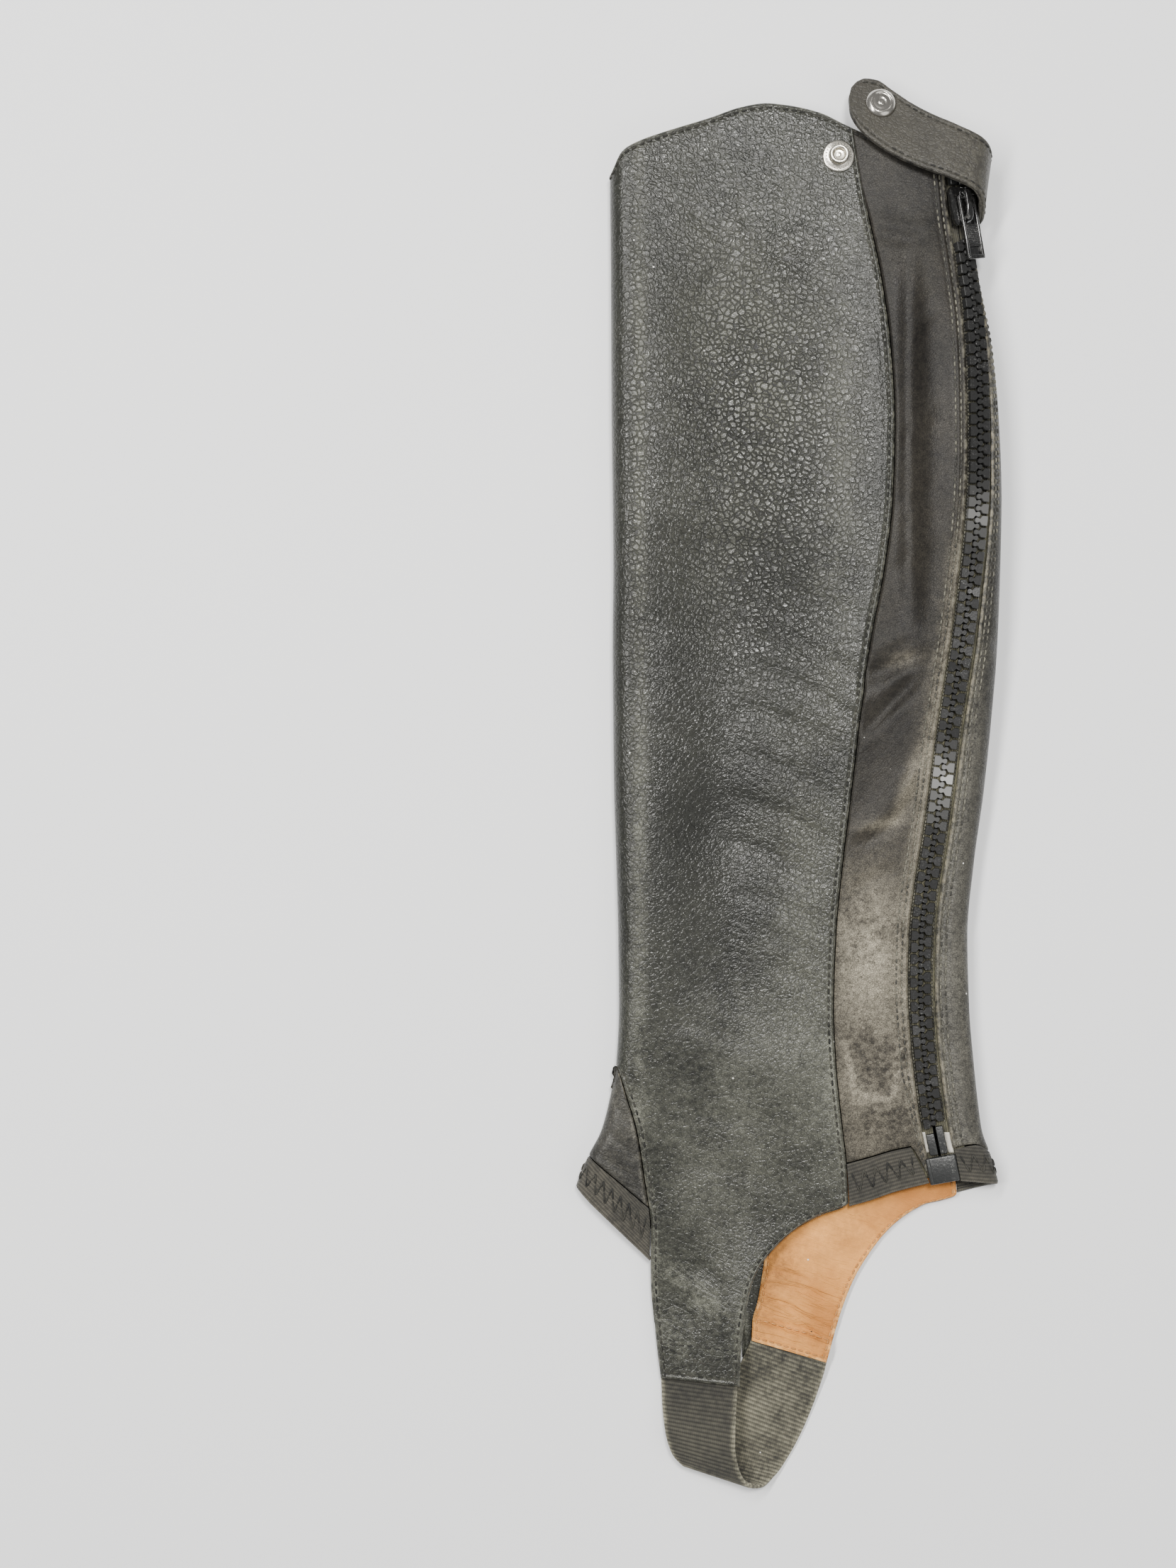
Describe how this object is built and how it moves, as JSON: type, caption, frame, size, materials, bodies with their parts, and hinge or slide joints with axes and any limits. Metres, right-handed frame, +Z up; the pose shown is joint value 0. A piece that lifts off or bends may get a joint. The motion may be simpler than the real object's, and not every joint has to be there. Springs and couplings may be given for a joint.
{
  "type": "half chap",
  "caption": "Leather riding half chap for the right leg, laid flat: curved zip, softer stretch panel, snap strap and elastic loop for the boot's sole.",
  "frame": {"origin": "centre of the half chap's box, on the surface it lies on", "axes": "+Z up out of the surface, +Y along the leg towards its top, +X from the shin fold to the zip"},
  "size_m": [0.1738, 0.5774, 0.0247],
  "materials": {
    "pebbled_leather": "satin pebbled full grain with a dusty bloom",
    "stretch_leather": "smoother worn leather with soft creases",
    "back_leather": "satin grain leather",
    "gusset_leather": "satin grain leather, dusty",
    "ribbed_elastic": "woven elastic with lengthwise ribs",
    "loop_elastic": "woven elastic with cross ribs, worn pale",
    "zip_tape": "woven tape",
    "moulded_plastic": "moulded plastic, worn satin",
    "slider_enamel": "glossy black enamel on cast metal",
    "strap_leather": "smooth leather, two layers sewn together",
    "dark_nickel": "dark nickel plate",
    "nickel": "nickel plate",
    "tan_lining": "matt tan lining leather"
  },
  "bodies": {
    "garment": {"main_panel": "pebbled_leather", "stretch_panel": "stretch_leather", "back_panel": "back_leather", "ankle_gusset": "gusset_leather", "gusset_binding": "ribbed_elastic", "stretch_binding": "ribbed_elastic", "back_binding": "ribbed_elastic", "zip_tape_left": "zip_tape", "zip_tape_right": "zip_tape", "zip_chain": "moulded_plastic", "zip_box": "moulded_plastic", "zip_post": "moulded_plastic", "zip_pin": "moulded_plastic", "zip_stop_left": "moulded_plastic", "zip_stop_right": "moulded_plastic", "zip_slider": "slider_enamel", "closing_strap": "strap_leather", "snap_cap": "dark_nickel", "snap_socket": "nickel", "snap_stud": "nickel", "tongue_lining": "tan_lining", "stirrup_loop": "loop_elastic"},
    "pull_tab": {"zip_pull": "slider_enamel"}
  },
  "joints": [
    {"name": "pull_tab_swing", "type": "hinge", "parent": "garment", "child": "pull_tab", "pos_m": [0.07166, 0.23921, 0.01765], "axis": [-0.9835, -0.1808, 0], "range_deg": [0, 35]}
  ]
}
